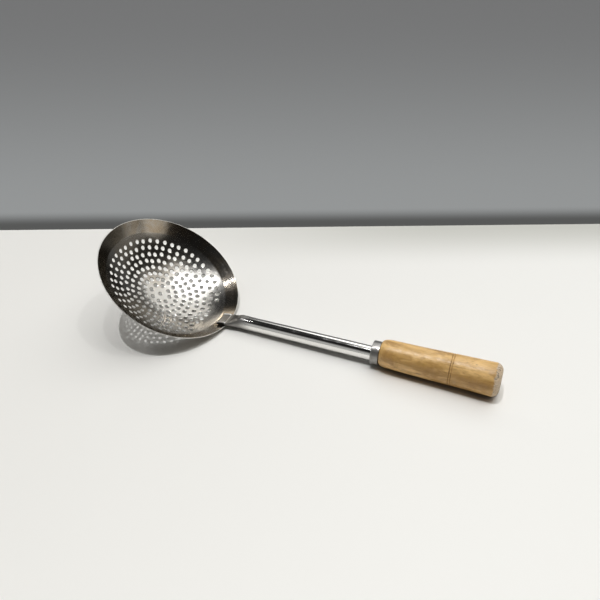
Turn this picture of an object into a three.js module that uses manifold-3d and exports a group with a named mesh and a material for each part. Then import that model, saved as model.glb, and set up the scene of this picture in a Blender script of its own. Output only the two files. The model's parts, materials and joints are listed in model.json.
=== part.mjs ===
// A kitchen skimmer: a perforated steel bowl, spot-welded to the flattened end of a tube,
// whose other end is driven into a turned wooden grip with a steel ferrule on its front.
// Millimetres, +Z up. The part rests as it lies on a table: on the bowl's round bottom
// and on the underside of the grip, with the grip towards +X.
import * as THREE from "three";
import { mergeGeometries, mergeVertices } from "three/addons/utils/BufferGeometryUtils.js";
import Module from "manifold-3d";

const wasm = await Module();
wasm.setup();

// Bowl: a spherical dish with a plain conical band around it
const RIM_RADIUS = 64.6;
const BAND_WIDTH = 9;
const BAND_SLOPE = THREE.MathUtils.degToRad(44);
const DISH_CURVE_RADIUS = 88;
const SHEET = 0.6;

// Holes: counts of each ring, from the middle one outwards
const HOLE_DIAMETER = 3.6;
const HOLES_PER_RING = [1, 8, 17, 24, 29, 34, 38, 41, 44];
const FIRST_RING_RADIUS = 9;
const HOLE_MARGIN = 6;
const PUNCH_SCATTER = 0.5;
const LEAST_WEB = 0.6;
const UNPUNCHED_HALF_ANGLE = THREE.MathUtils.degToRad(28);

// Stem: a round tube pressed flat at the bowl
const STEM_DIAMETER = 12.7;
const STEM_WALL = 1;
const STEM_LENGTH = 131.8;
const STEM_BURIED = 60;
const STEM_RISE = 2.7;
const NECK_LENGTH = 14;
const TAB_WIDTH = 15.2;
const TAB_REACH = 9;
const TAB_RIDGE = 1.1;
const TAB_RIDGE_WIDTH = 3;
const BOWL_SET_ANGLE = THREE.MathUtils.degToRad(34);

// Ferrule: a plain ring on the grip's tenon, which the stem's bore leaves thin below
const TENON_WALL = 0.55;
const FERRULE_WALL = 0.8;
const FERRULE_LENGTH = 7;

// Grip: turned wood, a little thicker at its butt, with tenon and bore below its axis
const GRIP_LENGTH = 94.2;
const GRIP_FRONT_DIAMETER = 23.2;
const GRIP_BUTT_DIAMETER = 27;
const SHOULDER_LENGTH = 8;
const BUTT_ROUND = 6;
const BORE_DROP = 3.4;
const TENON_DROP = 1.8;
const LINE_PLACE = 56;
const LINE_SPACING = 1.6;
const LINE_COUNT = 2;
const LINE_WIDTH = 0.7;
const LINE_DEPTH = 0.4;

// Gap between pieces that touch on the real object
const CLEARANCE = 0.3;

// Fineness of the round surfaces
const HOLE_SIDES = 6;
const STEM_SEGMENTS = 32;
const GRIP_SEGMENTS = 40;
const ROUND_STEPS = 4;

const stemRadius = STEM_DIAMETER / 2;
const boreRadius = stemRadius + CLEARANCE;
const tenonRise = BORE_DROP - TENON_DROP;
const tenonRadius = boreRadius + tenonRise + TENON_WALL;
const ferruleRadius = tenonRadius + CLEARANCE + FERRULE_WALL;
const steel = { color: 0x9b9892, roughness: 0.3, metalness: 1 };
const wood = { color: 0xc59a58, roughness: 0.55, metalness: 0 };

// Joins shared vertices and drops the triangles that have shrunk to a line.
function closed(geometry) {
  const bare = geometry.index ? geometry.toNonIndexed() : geometry.clone();
  bare.deleteAttribute("normal");
  bare.deleteAttribute("uv");
  const merged = mergeVertices(bare, 1e-4);
  const from = merged.index.array;
  const kept = [];
  for (let i = 0; i < from.length; i += 3) {
    const [a, b, c] = [from[i], from[i + 1], from[i + 2]];
    if (a !== b && b !== c && c !== a) kept.push(a, b, c);
  }
  merged.setIndex(kept);
  return merged;
}

function solid(geometry) {
  const shape = closed(geometry);
  const vertProperties = shape.attributes.position.array;
  const triVerts = new Uint32Array(shape.index.array);
  return new wasm.Manifold(new wasm.Mesh({ numProp: 3, vertProperties, triVerts }));
}

function geometryOf(body) {
  const mesh = body.getMesh();
  const geometry = new THREE.BufferGeometry();
  geometry.setAttribute("position", new THREE.BufferAttribute(mesh.vertProperties, 3));
  geometry.setIndex(new THREE.BufferAttribute(mesh.triVerts, 1));
  return geometry;
}

function piece(name, geometry, finish) {
  const mesh = new THREE.Mesh(geometry, new THREE.MeshStandardMaterial(finish));
  mesh.geometry.computeVertexNormals();
  mesh.name = name;
  return mesh;
}

// Turns a profile of [radius, height] points about the Z axis.
function turned(profile, segments) {
  const points = profile.map(([radius, height]) => new THREE.Vector2(radius, height));
  return new THREE.LatheGeometry(points, segments).rotateX(Math.PI / 2);
}

// Turns a profile of [radius, place] points about the X axis.
function turnedAlongX(profile, segments) {
  return turned(profile, segments).rotateY(Math.PI / 2);
}

// A rod of the given radius along X, from one place to another.
function rod(radius, from, to, segments) {
  const length = to - from;
  const shape = new THREE.CylinderGeometry(radius, radius, length, segments);
  return shape.rotateZ(Math.PI / 2).translate(from + length / 2, 0, 0);
}

// The bowl stands with its axis on Z, the middle of its lip at the origin, inside up.
const creaseRadius = RIM_RADIUS - BAND_WIDTH;
const creaseDepth = BAND_WIDTH * Math.tan(BAND_SLOPE);
const dishCentre = Math.sqrt(DISH_CURVE_RADIUS ** 2 - creaseRadius ** 2) - creaseDepth;
const lastRing = HOLES_PER_RING.length - 1;
const firstLean = Math.asin(FIRST_RING_RADIUS / DISH_CURVE_RADIUS);
const lastLean = Math.asin((creaseRadius - HOLE_MARGIN) / DISH_CURVE_RADIUS);
const leanStep = (lastLean - firstLean) / (lastRing - 1);
const bowlSegments = HOLES_PER_RING[lastRing];

// The distance of a ring of holes from the axis: the rings are evenly apart along the dish.
function ringRadius(ring) {
  const lean = ring < 1 ? firstLean * ring : firstLean + leanStep * (ring - 1);
  return DISH_CURVE_RADIUS * Math.sin(lean);
}

// A point of the dish's wall above a spot of its plan, on its inside or its outside.
function onDish(spot, layer) {
  const height = Math.sqrt(DISH_CURVE_RADIUS ** 2 - spot.lengthSq());
  const point = new THREE.Vector3(spot.x, spot.y, -height);
  const reach = layer === "inside" ? DISH_CURVE_RADIUS : DISH_CURVE_RADIUS + SHEET;
  return point.setLength(reach).add(new THREE.Vector3(0, 0, dishCentre));
}

function planSpot(radius, angle) {
  return new THREE.Vector2(radius * Math.cos(angle), radius * Math.sin(angle));
}

// A repeatable stray of a hand-held punch, from -1 to 1.
function stray(seed) {
  const wave = Math.sin(seed * 12.9898) * 43758.5453;
  return 2 * (wave - Math.floor(wave)) - 1;
}

// The plan of one hole, clockwise, as it is punched square to the dish.
function holeOutline(ring, turn) {
  const count = HOLES_PER_RING[ring];
  const seed = ring * 100 + turn * count;
  const across = ring > 0 ? (Math.PI * ringRadius(ring)) / count : FIRST_RING_RADIUS / 2;
  const outward = (DISH_CURVE_RADIUS * leanStep) / 2;
  const room = Math.min(across, outward) - (HOLE_DIAMETER + LEAST_WEB) / 2;
  const scatter = Math.max(0, Math.min(PUNCH_SCATTER, room));
  const radius = ringRadius(ring) + (ring > 0 ? scatter * stray(seed) : 0);
  const angle = 2 * Math.PI * turn + (scatter * stray(seed + 7)) / Math.max(radius, FIRST_RING_RADIUS);
  const flat = Math.sqrt(1 - (radius / DISH_CURVE_RADIUS) ** 2);
  const outline = [];
  for (let i = 0; i < HOLE_SIDES; i += 1) {
    const corner = planSpot(HOLE_DIAMETER / 2, (-2 * Math.PI * i) / HOLE_SIDES);
    corner.x = corner.x * flat + radius;
    outline.push(corner.rotateAround(new THREE.Vector2(), angle));
  }
  return outline;
}

// The turns, from 0 to 1, at which the cells of one ring of holes meet.
function cellTurns(ring) {
  const count = HOLES_PER_RING[ring];
  return count > 1 ? Array.from({ length: count }, (unused, i) => i / count) : [];
}

// The corners on the circle between two rings, from one turn to another.
function circleCorners(ring, from, to) {
  const outer = ring < lastRing ? cellTurns(ring + 1) : [];
  const turns = [...cellTurns(ring), ...outer, from, to].sort((a, b) => a - b);
  const near = turns.filter((turn) => turn > from - 1e-9 && turn < to + 1e-9);
  const apart = near.filter((turn, i) => i === 0 || turn - near[i - 1] > 1e-9);
  return apart.map((turn) => planSpot(ringRadius(ring + 0.5), 2 * Math.PI * turn));
}

// The plan of the dish in cells: each has an outline, anticlockwise, and mostly a hole.
function dishCells() {
  const cells = [];
  HOLES_PER_RING.forEach((count, ring) => {
    for (let i = 0; i < count; i += 1) {
      const [from, to] = [i / count, (i + 1) / count];
      const outer = circleCorners(ring, from, to);
      const inner = ring > 0 ? circleCorners(ring - 1, from, to) : [];
      if (count === 1) outer.pop();
      const turn = (from + to) / 2;
      const fromStem = 2 * Math.PI * Math.min(turn, 1 - turn);
      const isPlain = ring === lastRing && fromStem < UNPUNCHED_HALF_ANGLE;
      const holes = isPlain ? [] : [holeOutline(ring, turn)];
      cells.push({ outline: [...outer, ...inner.reverse()], holes });
    }
  });
  return cells;
}

// The wall of the dish, out to the circle around the last ring of holes.
function dishWall() {
  const corners = [];
  dishCells().forEach(({ outline, holes }) => {
    const spots = [...outline, ...holes.flat()];
    THREE.ShapeUtils.triangulateShape(outline, holes).forEach((face) => {
      const isUp = THREE.ShapeUtils.area(face.map((i) => spots[i])) > 0;
      const [a, b, c] = isUp ? face : [face[0], face[2], face[1]];
      corners.push(...[a, b, c].map((i) => onDish(spots[i], "inside")));
      corners.push(...[a, c, b].map((i) => onDish(spots[i], "outside")));
    });
    holes.forEach((hole) => hole.forEach((spot, i) => {
      const next = hole[(i + 1) % hole.length];
      const [top, low] = [onDish(spot, "inside"), onDish(spot, "outside")];
      const [nextTop, nextLow] = [onDish(next, "inside"), onDish(next, "outside")];
      corners.push(nextTop, top, low, nextTop, low, nextLow);
    }));
  });
  return new THREE.BufferGeometry().setFromPoints(corners);
}

// The plain band around the dish, from its outside around the lip to its inside.
function bandWall() {
  const dishEdge = planSpot(ringRadius(lastRing + 0.5), 0);
  const crease = planSpot(creaseRadius, 0);
  const across = new THREE.Vector2(Math.sin(BAND_SLOPE), -Math.cos(BAND_SLOPE));
  const along = new THREE.Vector2(Math.cos(BAND_SLOPE), Math.sin(BAND_SLOPE));
  const edgeRadius = SHEET / 2;
  const edge = new THREE.Vector2(RIM_RADIUS, 0).addScaledVector(along, -edgeRadius);
  edge.addScaledVector(across, edgeRadius);
  const profile = [onDish(dishEdge, "outside"), onDish(crease, "outside")];
  for (let i = 0; i <= ROUND_STEPS; i += 1) {
    const turn = (Math.PI * i) / ROUND_STEPS;
    const point = edge.clone().addScaledVector(across, edgeRadius * Math.cos(turn));
    point.addScaledVector(along, edgeRadius * Math.sin(turn));
    profile.push(new THREE.Vector3(point.x, 0, point.y));
  }
  profile.push(onDish(crease, "inside"), onDish(dishEdge, "inside"));
  const corners = [];
  const around = (point, step) => {
    const angle = (2 * Math.PI * (step % bowlSegments)) / bowlSegments;
    return point.clone().applyAxisAngle(new THREE.Vector3(0, 0, 1), angle);
  };
  for (let step = 0; step < bowlSegments; step += 1) {
    for (let i = 0; i + 1 < profile.length; i += 1) {
      const [a, b] = [around(profile[i], step), around(profile[i], step + 1)];
      const [c, d] = [around(profile[i + 1], step + 1), around(profile[i + 1], step)];
      corners.push(a, b, c, a, c, d);
    }
  }
  return new THREE.BufferGeometry().setFromPoints(corners);
}

function perforatedBowl() {
  const walls = closed(mergeGeometries([dishWall(), bandWall()]));
  const bowl = piece("perforated_bowl", walls, steel);
  bowl.rotation.y = BOWL_SET_ANGLE;
  bowl.position.set(...rimCentre);
  return bowl;
}

// The handle lies along X: the lip's nearest point is at x = 0, the stem's axis is z = 0.
const rimCentre = [
  -RIM_RADIUS * Math.cos(BOWL_SET_ANGLE),
  0,
  -STEM_RISE + RIM_RADIUS * Math.sin(BOWL_SET_ANGLE),
];
const ferruleStart = STEM_LENGTH;
const gripStart = ferruleStart + FERRULE_LENGTH;
const gripEnd = gripStart + GRIP_LENGTH;

// Outline of the stem where it is round, in [across, up] for a turn from 0 to 1.
function roundOutline(radius, turn) {
  return [radius * Math.cos(turn * 2 * Math.PI), radius * Math.sin(turn * 2 * Math.PI)];
}

// Outline of the stem where it is pressed flat: thin in the middle, a ridge along each side.
function flatOutline(turn, ridge) {
  const halfWidth = TAB_WIDTH / 2;
  const across = halfWidth * Math.cos(turn * 2 * Math.PI);
  const fromSide = halfWidth - Math.abs(across);
  const sideRound = Math.min(1, fromSide / STEM_WALL);
  const half = STEM_WALL * Math.sqrt(1 - (1 - sideRound) ** 2);
  const inRidge = Math.max(0, 1 - Math.abs(fromSide / TAB_RIDGE_WIDTH - 0.5) * 2);
  const isTop = Math.sin(turn * 2 * Math.PI) > 0;
  const swell = ridge * TAB_RIDGE * Math.sin((inRidge * Math.PI) / 2);
  return [across, isTop ? half + swell : -half];
}

// The pressed end bends down over the lip and lies along the band, inside the bowl.
const tabPitch = BAND_SLOPE - BOWL_SET_ANGLE;
const bandCurveRadius = RIM_RADIUS / Math.sin(BAND_SLOPE);
const lipHeight = -STEM_RISE + (SHEET / 2) * Math.sin(BOWL_SET_ANGLE);
const flatMiddle = lipHeight + CLEARANCE + STEM_WALL;

// One cross-section of the stem, as points in the handle's frame.
function stemSection(place, flatness, ridge) {
  const inside = Math.max(0, -place);
  const x = place >= 0 ? place : -inside * Math.cos(tabPitch);
  const pitch = tabPitch * THREE.MathUtils.smoothstep(inside, 0, STEM_WALL);
  const height = flatness * flatMiddle - inside * Math.sin(tabPitch);
  const points = [];
  for (let i = 0; i < STEM_SEGMENTS; i += 1) {
    const turn = (i + 0.5) / STEM_SEGMENTS;
    const [roundAcross, roundUp] = roundOutline(stemRadius, turn);
    const [flatAcross, flatUp] = flatOutline(turn, ridge);
    const across = THREE.MathUtils.lerp(roundAcross, flatAcross, flatness);
    const hug = flatness * (across ** 2 / (2 * bandCurveRadius));
    const up = THREE.MathUtils.lerp(roundUp, flatUp, flatness) + hug;
    points.push(new THREE.Vector3(x + up * Math.sin(pitch), across, height + up * Math.cos(pitch)));
  }
  return points;
}

function boreSection(place) {
  const points = [];
  for (let i = 0; i < STEM_SEGMENTS; i += 1) {
    const [across, up] = roundOutline(stemRadius - STEM_WALL, (i + 0.5) / STEM_SEGMENTS);
    points.push(new THREE.Vector3(place, across, up));
  }
  return points;
}

// Skins a row of sections, each with the same number of points, and closes both ends.
function skinned(sections) {
  const count = sections[0].length;
  const corners = sections.flat();
  const index = [];
  for (let s = 0; s + 1 < sections.length; s += 1) {
    for (let i = 0; i < count; i += 1) {
      const j = (i + 1) % count;
      const [a, b] = [s * count + i, s * count + j];
      index.push(a, b, a + count, b, b + count, a + count);
    }
  }
  [0, sections.length - 1].forEach((s) => {
    const middle = sections[s].reduce((sum, p) => sum.add(p), new THREE.Vector3());
    corners.push(middle.divideScalar(count));
    const hub = corners.length - 1;
    for (let i = 0; i < count; i += 1) {
      const [a, b] = [s * count + i, s * count + ((i + 1) % count)];
      index.push(...(s === 0 ? [hub, b, a] : [hub, a, b]));
    }
  });
  const geometry = new THREE.BufferGeometry().setFromPoints(corners);
  geometry.setIndex(index);
  return geometry;
}

function stem() {
  const sections = [];
  const stemEnd = gripStart + STEM_BURIED;
  const tabSteps = [1, 0.9, 0.5, 0.12];
  tabSteps.forEach((share) => sections.push(stemSection(-TAB_REACH * share, 1, 1)));
  const neckSteps = 8;
  for (let i = 0; i <= neckSteps; i += 1) {
    const along = i / neckSteps;
    const flatness = 1 - THREE.MathUtils.smoothstep(along, 0, 1);
    const ridge = 1 - THREE.MathUtils.smoothstep(along, 0, 0.4);
    sections.push(stemSection(NECK_LENGTH * along, flatness, ridge));
  }
  sections.push(stemSection(stemEnd, 0, 0));
  const boreStart = NECK_LENGTH + STEM_WALL;
  const bore = skinned([boreSection(boreStart), boreSection(stemEnd + STEM_WALL)]);
  return piece("stem_tube", geometryOf(solid(skinned(sections)).subtract(solid(bore))), steel);
}

function ferrule() {
  const outer = ferruleRadius;
  const inner = outer - FERRULE_WALL;
  const end = FERRULE_LENGTH - CLEARANCE;
  const profile = [[inner, 0], [outer, 0], [outer, end], [inner, end], [inner, 0]];
  const ring = piece("ferrule", closed(turnedAlongX(profile, GRIP_SEGMENTS)), steel);
  ring.position.set(ferruleStart, 0, tenonRise);
  return ring;
}

// Outline of the grip as [radius, place along the grip] points.
function gripProfile() {
  const frontRadius = GRIP_FRONT_DIAMETER / 2;
  const buttRadius = GRIP_BUTT_DIAMETER / 2;
  const noseRadius = ferruleRadius - TENON_DROP / 2;
  const taper = (place) => THREE.MathUtils.lerp(frontRadius, buttRadius, place / GRIP_LENGTH);
  const profile = [[0, 0]];
  for (let i = 0; i <= ROUND_STEPS; i += 1) {
    const turn = (Math.PI / 2) * (i / ROUND_STEPS);
    const rise = taper(SHOULDER_LENGTH) - noseRadius;
    profile.push([noseRadius + rise * Math.sin(turn), SHOULDER_LENGTH * (1 - Math.cos(turn))]);
  }
  for (let i = 0; i < LINE_COUNT; i += 1) {
    const place = LINE_PLACE + LINE_SPACING * i;
    profile.push([taper(place - LINE_WIDTH / 2), place - LINE_WIDTH / 2]);
    profile.push([taper(place) - LINE_DEPTH, place]);
    profile.push([taper(place + LINE_WIDTH / 2), place + LINE_WIDTH / 2]);
  }
  for (let i = 0; i <= ROUND_STEPS; i += 1) {
    const turn = (Math.PI / 2) * (i / ROUND_STEPS);
    const drop = BUTT_ROUND * (1 - Math.cos(turn));
    profile.push([buttRadius - drop, GRIP_LENGTH - BUTT_ROUND * (1 - Math.sin(turn))]);
  }
  profile.push([0, GRIP_LENGTH]);
  return profile;
}

function grip() {
  const body = turnedAlongX(gripProfile(), GRIP_SEGMENTS).translate(gripStart, 0, BORE_DROP);
  const root = gripStart + SHOULDER_LENGTH;
  const tenon = rod(tenonRadius, ferruleStart, root, GRIP_SEGMENTS).translate(0, 0, tenonRise);
  const boreEnd = gripStart + STEM_BURIED + CLEARANCE;
  const bore = rod(boreRadius, ferruleStart - SHOULDER_LENGTH, boreEnd, STEM_SEGMENTS);
  const whole = solid(body).add(solid(tenon)).subtract(solid(bore));
  return piece("wooden_grip", geometryOf(whole), wood);
}

// The angle by which the handle tips until bowl and butt both touch the table.
function restTilt() {
  const axis = [Math.sin(BOWL_SET_ANGLE), Math.cos(BOWL_SET_ANGLE)];
  const centreX = rimCentre[0] + dishCentre * axis[0];
  const centreZ = rimCentre[2] + dishCentre * axis[1];
  const footX = gripEnd - BUTT_ROUND;
  const footZ = BORE_DROP - GRIP_BUTT_DIAMETER / 2;
  const [back, up] = [footX - centreX, centreZ - footZ];
  const toCentre = Math.atan2(up, back);
  const toTangent = Math.asin((DISH_CURVE_RADIUS + SHEET) / Math.hypot(back, up));
  return toTangent - toCentre;
}

// Tipped to rest, then moved so that the middle of its footprint is the origin.
const handle = new THREE.Group();
handle.add(perforatedBowl(), stem(), ferrule(), grip());
handle.rotation.y = restTilt();
const skimmer = new THREE.Group();
skimmer.add(handle);
skimmer.updateMatrixWorld(true);
const box = new THREE.Box3().setFromObject(skimmer, true);
const middle = box.getCenter(new THREE.Vector3());
handle.position.set(-middle.x, -middle.y, -box.min.z);

export default skimmer;
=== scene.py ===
import json
import math

import bpy
import numpy as np
from bpy.props import FloatProperty, FloatVectorProperty, IntProperty, PointerProperty
from mathutils import Matrix, Vector
from mathutils.geometry import delaunay_2d_cdt


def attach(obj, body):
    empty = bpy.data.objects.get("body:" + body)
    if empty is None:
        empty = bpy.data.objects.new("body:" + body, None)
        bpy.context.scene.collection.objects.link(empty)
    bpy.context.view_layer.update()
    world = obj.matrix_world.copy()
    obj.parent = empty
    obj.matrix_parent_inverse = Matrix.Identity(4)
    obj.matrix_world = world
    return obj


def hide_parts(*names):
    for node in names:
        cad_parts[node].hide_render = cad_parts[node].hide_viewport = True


bl_info = {
    "name": "Perforated skimmer",
    "version": (1, 0, 0),
    "blender": (4, 5, 0),
    "location": "View3D > Sidebar > Skimmer",
    "description": "Builds a perforated steel skimmer with a turned wooden grip on a white table",
    "category": "Object",
}

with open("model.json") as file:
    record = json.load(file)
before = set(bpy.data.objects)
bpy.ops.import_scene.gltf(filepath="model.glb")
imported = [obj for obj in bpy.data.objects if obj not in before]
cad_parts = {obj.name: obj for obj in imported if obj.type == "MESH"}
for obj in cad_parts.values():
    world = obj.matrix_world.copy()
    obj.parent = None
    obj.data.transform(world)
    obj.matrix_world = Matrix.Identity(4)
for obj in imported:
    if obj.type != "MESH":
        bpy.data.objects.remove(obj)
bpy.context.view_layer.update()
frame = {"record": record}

# Holes of each ring of the bowl, from the middle outwards
HOLES_PER_RING = (1, 8, 17, 24, 29, 34, 38, 41, 44)

# Points around a hole, as shares of the reach of its drawn-in lip
LIP_LEVELS = (0.0, 0.2, 0.5, 1.0)

# From the crease to the last points of the dish and to the first of the band, which round it off
CREASE_TO_DISH = 0.0004
CREASE_TO_BAND = 0.0005

# Points in the plain steel of the dish: inside its edge, and beside the stem
EDGE_POINTS = 96
EDGE_POINTS_IN = 0.0016
STEM_POINTS = 4
STEM_POINTS_IN = 0.0052

# Rings of the pressed end, as shares of its reach, and how far its middle is sunk
TAB_RINGS = (1.0, 0.985, 0.95, 0.85, 0.7, 0.55, 0.4, 0.3, 0.24, 0.2, 0.16, 0.12, 0.08, 0.04)
TAB_SUNK = 0.00025

# Fineness of the turned pieces and of the tube
STEM_SIDES = 96
NECK_STEPS = 24
TUBE_STEPS = 12
FERRULE_SIDES = 96
GRIP_SIDES = 144
GRIP_STEPS = 40

# Ferrule: its broken edge, as steps in from the end and from the outside, and the dent
EDGE_SIZE = 0.00025
EDGE_STEPS = ((0.0, 1.6), (0.3, 0.6), (1.2, 0.1))
DENT_DEPTH = 0.00012
DENT_PLACE = 4.1
DENT_WIDTH = 0.35

# Grip: lines scribed around it, and the radius of its bore at the front
SCRIBED_LINES = 2
BORE_RADIUS = 0.0068

# Middle of the painted highlight on the bowl, a patch of brighter steel, in millimetres towards the stem and
# away from the viewer
PAINTED_HIGHLIGHT_PLACE = (13.0, 25.0)

# Stage: far edge of the table in plan, the table's depth, and the wall behind it
TABLE_EDGE = ((-1.9, -0.6033), (1.5, 0.8733))
TABLE_DEPTH = 4.0
WALL_GAP = 0.9
WALL_FOOT = -1.2
WALL_TOP = 0.5

# Lamps: name, lean for each metre of height, size and power
LAMPS = (
    ("lamp_left", (-0.1, -0.07, 1.0), 0.04, 28.0),
    ("lamp_middle", (0.08, 0.04, 1.0), 0.04, 6.2),
    ("lamp_right", (0.37, 0.2, 1.0), 0.04, 6.2),
    ("lamp_side", (-0.54, -0.16, 1.0), 0.25, 5.0),
)
LAMP_HEIGHT = 3.0
LAMP_TARGET = Vector((-0.1, 0.0, 0.02))

# Light of the room: plain, and warm on the right
ROOM_PLAIN = (1.0, 1.0, 0.975)
ROOM_WARM = (1.0, 0.93, 0.82)

# Camera: its place, its lens on a sensor of the same width, and where it looks in degrees
CAMERA_PLACE = (0.1562, -0.3682, 0.3278)
CAMERA_LENS = 36.0
CAMERA_ELEVATION = 35.436
CAMERA_AZIMUTH = 22.226


def length(name, description, default):
    """A size in metres that the user can change."""
    return FloatProperty(name=name, description=description, default=default, unit="LENGTH", precision=5)


def angle(name, description, degrees):
    """An angle that the user can change."""
    default = math.radians(degrees)
    return FloatProperty(name=name, description=description, default=default, subtype="ANGLE")


def share(name, description, default):
    """A number between 0 and 1 that the user can change."""
    limits = {"min": 0, "max": 1, "subtype": "FACTOR"}
    return FloatProperty(name=name, description=description, default=default, **limits)


def colour(name, description, default):
    """A linear colour that the user can change."""
    limits = {"min": 0, "max": 1, "subtype": "COLOR"}
    return FloatVectorProperty(name=name, description=description, default=default, **limits)


class BowlSizes(bpy.types.PropertyGroup):
    """Sizes of the perforated bowl"""
    rim_radius: length("Rim radius", "Radius of the bowl at its lip", 0.0646)
    band_width: length("Band width", "Width of the plain band, seen from above", 0.009)
    band_slope: angle("Band slope", "Rise of the band above the plane of the lip", 44)
    dish_curve: length("Dish curve", "Radius of the dish's round inside", 0.088)
    sheet: length("Sheet", "Thickness of the steel sheet", 0.0006)
    hole: length("Hole", "Diameter of a punched hole", 0.0036)
    first_ring: length("First ring", "Radius of the innermost ring of holes", 0.009)
    hole_margin: length("Hole margin", "From the outermost ring of holes to the crease", 0.006)
    scatter: length("Scatter", "How far a hole strays from its place", 0.0005)
    least_web: length("Least web", "Steel left between two holes", 0.0006)
    plain_angle: angle("Plain angle", "No outer holes this far to each side of the stem", 28)
    lip_dip: length("Lip dip", "How far the punch drew the edge of a hole down", 0.0002)
    lip_reach: length("Lip reach", "How far around a hole the sheet is drawn down", 0.0006)
    hole_sides: IntProperty(name="Hole sides", description="Corners of a hole", default=20, min=8)
    segments: IntProperty(name="Segments", description="Segments around the band", default=192, min=48)
    set_angle: angle("Set angle", "Lean of the bowl on the stem", 34)


class StemSizes(bpy.types.PropertyGroup):
    """Sizes of the tube"""
    diameter: length("Diameter", "Diameter of the tube", 0.0127)
    wall: length("Wall", "Wall of the tube", 0.001)
    length: length("Length", "From the lip to the ferrule", 0.1318)
    buried: length("Buried", "Length of the tube inside the grip", 0.06)
    rise: length("Rise", "Height of the tube's axis above the lip", 0.0027)
    neck: length("Neck", "Length over which the tube goes flat", 0.014)
    tab_width: length("Tab width", "Width of the pressed end", 0.0152)
    tab_reach: length("Tab reach", "How far the pressed end lies inside the bowl", 0.009)
    ridge: length("Ridge", "Height of the ridges along the pressed end", 0.0006)
    ridge_width: length("Ridge width", "Width of a ridge", 0.0022)
    gap: length("Gap", "Gap between the pressed end and the bowl", 0.0003)


class GripSizes(bpy.types.PropertyGroup):
    """Sizes of the wooden grip and its ferrule"""
    length: length("Length", "Length of the wood behind the ferrule", 0.0942)
    front: length("Front", "Diameter at the front", 0.0232)
    butt: length("Butt", "Diameter at the butt", 0.027)
    shoulder: length("Shoulder", "Length of the rounded shoulder", 0.008)
    butt_round: length("Butt round", "Rounding of the butt's edge", 0.006)
    bore_drop: length("Bore drop", "How far the stem is below the grip's axis", 0.0034)
    tenon_drop: length("Tenon drop", "How far the ferrule is below the grip's axis", 0.0018)
    line_place: length("Line place", "From the ferrule to the first scribed line", 0.056)
    line_spacing: length("Line spacing", "Between two scribed lines", 0.0016)
    line_width: length("Line width", "Width of a scribed line", 0.0007)
    line_depth: length("Line depth", "Depth of a scribed line", 0.0004)
    ferrule_length: length("Ferrule length", "Length of the steel ring", 0.007)
    ferrule_radius: length("Ferrule radius", "Outer radius of the steel ring", 0.0099)
    ferrule_wall: length("Ferrule wall", "Wall of the steel ring", 0.0008)


class Finishes(bpy.types.PropertyGroup):
    """Colours and roughness of the pieces and of the stage"""
    bowl_steel: colour("Bowl steel", "Colour of the bowl", (0.44, 0.428, 0.405))
    bowl_tint: colour("Bowl tint", "Warm tint of the band", (0.4, 0.345, 0.275))
    # Painted shade: the darker steel on the near side and on the band across from the stem
    bowl_painted_shade: colour("Oil on the bowl", "Baked-on oil on the near side", (0.12, 0.106, 0.088))
    # Painted highlight: the bright steel of the patch where the bowl's main highlight lies
    bowl_painted_highlight: colour("Scoured steel", "Bright steel of the scoured patch", (0.8, 0.79, 0.77))
    bowl_grey: colour("Grey steel", "Plain steel on the near side, by the stem", (0.42, 0.425, 0.432))
    bowl_edge: colour("Cut steel", "Bare edges of the holes and of the lip", (0.92, 0.91, 0.88))
    bowl_glance: colour("Glancing tint", "Tint of what the bowl mirrors at a slant", (0.5, 0.48, 0.45))
    stem_steel: colour("Stem steel", "Colour of the tube", (0.88, 0.87, 0.85))
    # Dull grey of the neck and pressed end, also used for the painted shade on the tube's underside
    weld_grey_and_painted_shade: colour("Weld grey", "Dull tone of the pressed end", (0.2, 0.193, 0.183))
    # Painted highlight on the ridges and the fold of the pressed end
    painted_ridge_highlight: colour("Bright ridge", "Rubbed ridges of the pressed end", (0.86, 0.85, 0.83))
    # Painted shade in the grooves beside the ridges
    painted_groove_shade: colour("Dark groove", "Dirt beside the ridges", (0.03, 0.028, 0.026))
    ferrule_steel: colour("Ferrule steel", "Colour of the ring", (0.32, 0.312, 0.3))
    ferrule_smudge: colour("Ferrule smudge", "Finger marks on the ring", (0.22, 0.21, 0.195))
    wood_pale: colour("Pale wood", "Lightest tone of the grip", (0.84, 0.545, 0.225))
    wood_tan: colour("Tan wood", "Main tone of the grip", (0.55, 0.325, 0.1))
    # Also used for the painted shade on the grip's lower side
    wood_dark: colour("Dark wood", "Streaks of the grip", (0.28, 0.135, 0.032))
    wood_line: colour("Scribed line", "Burnt tone of the scribed lines", (0.09, 0.04, 0.015))
    end_grain: colour("End grain", "Worn end of the butt", (0.6, 0.46, 0.31))
    end_pale: colour("Pale end grain", "Paler rings of the butt", (0.75, 0.62, 0.47))
    end_crack: colour("End crack", "Dirt in the cracks of the butt", (0.075, 0.06, 0.048))
    bowl_rough: share("Bowl roughness", "Blur of the bowl's reflections", 0.18)
    stem_rough: share("Stem roughness", "Blur of the tube's reflections", 0.07)
    table: colour("Table", "Colour of the table", (0.93, 0.925, 0.9))
    # Painted shade: the table dimmer on the left
    table_painted_shade_left: colour("Dim table", "The table on the left", (0.8, 0.79, 0.765))
    # Painted shade along the table's far edge
    table_far_painted_shade: colour("Far table", "The table along its far edge", (0.6, 0.6, 0.56))
    # Painted contact shadow under the grip
    table_painted_contact_shadow: colour("Contact", "The table under the grip", (0.1, 0.08, 0.07))
    wall: colour("Wall", "Colour of the wall behind", (0.265, 0.275, 0.28))
    # Painted shade on the wall's upper part
    wall_top_painted_shade: colour("Wall top", "Upper part of the wall", (0.15, 0.152, 0.155))
    # Painted shade at the wall's foot
    wall_foot_painted_shade: colour("Wall foot", "Shaded foot of the wall", (0.085, 0.087, 0.086))


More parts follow.
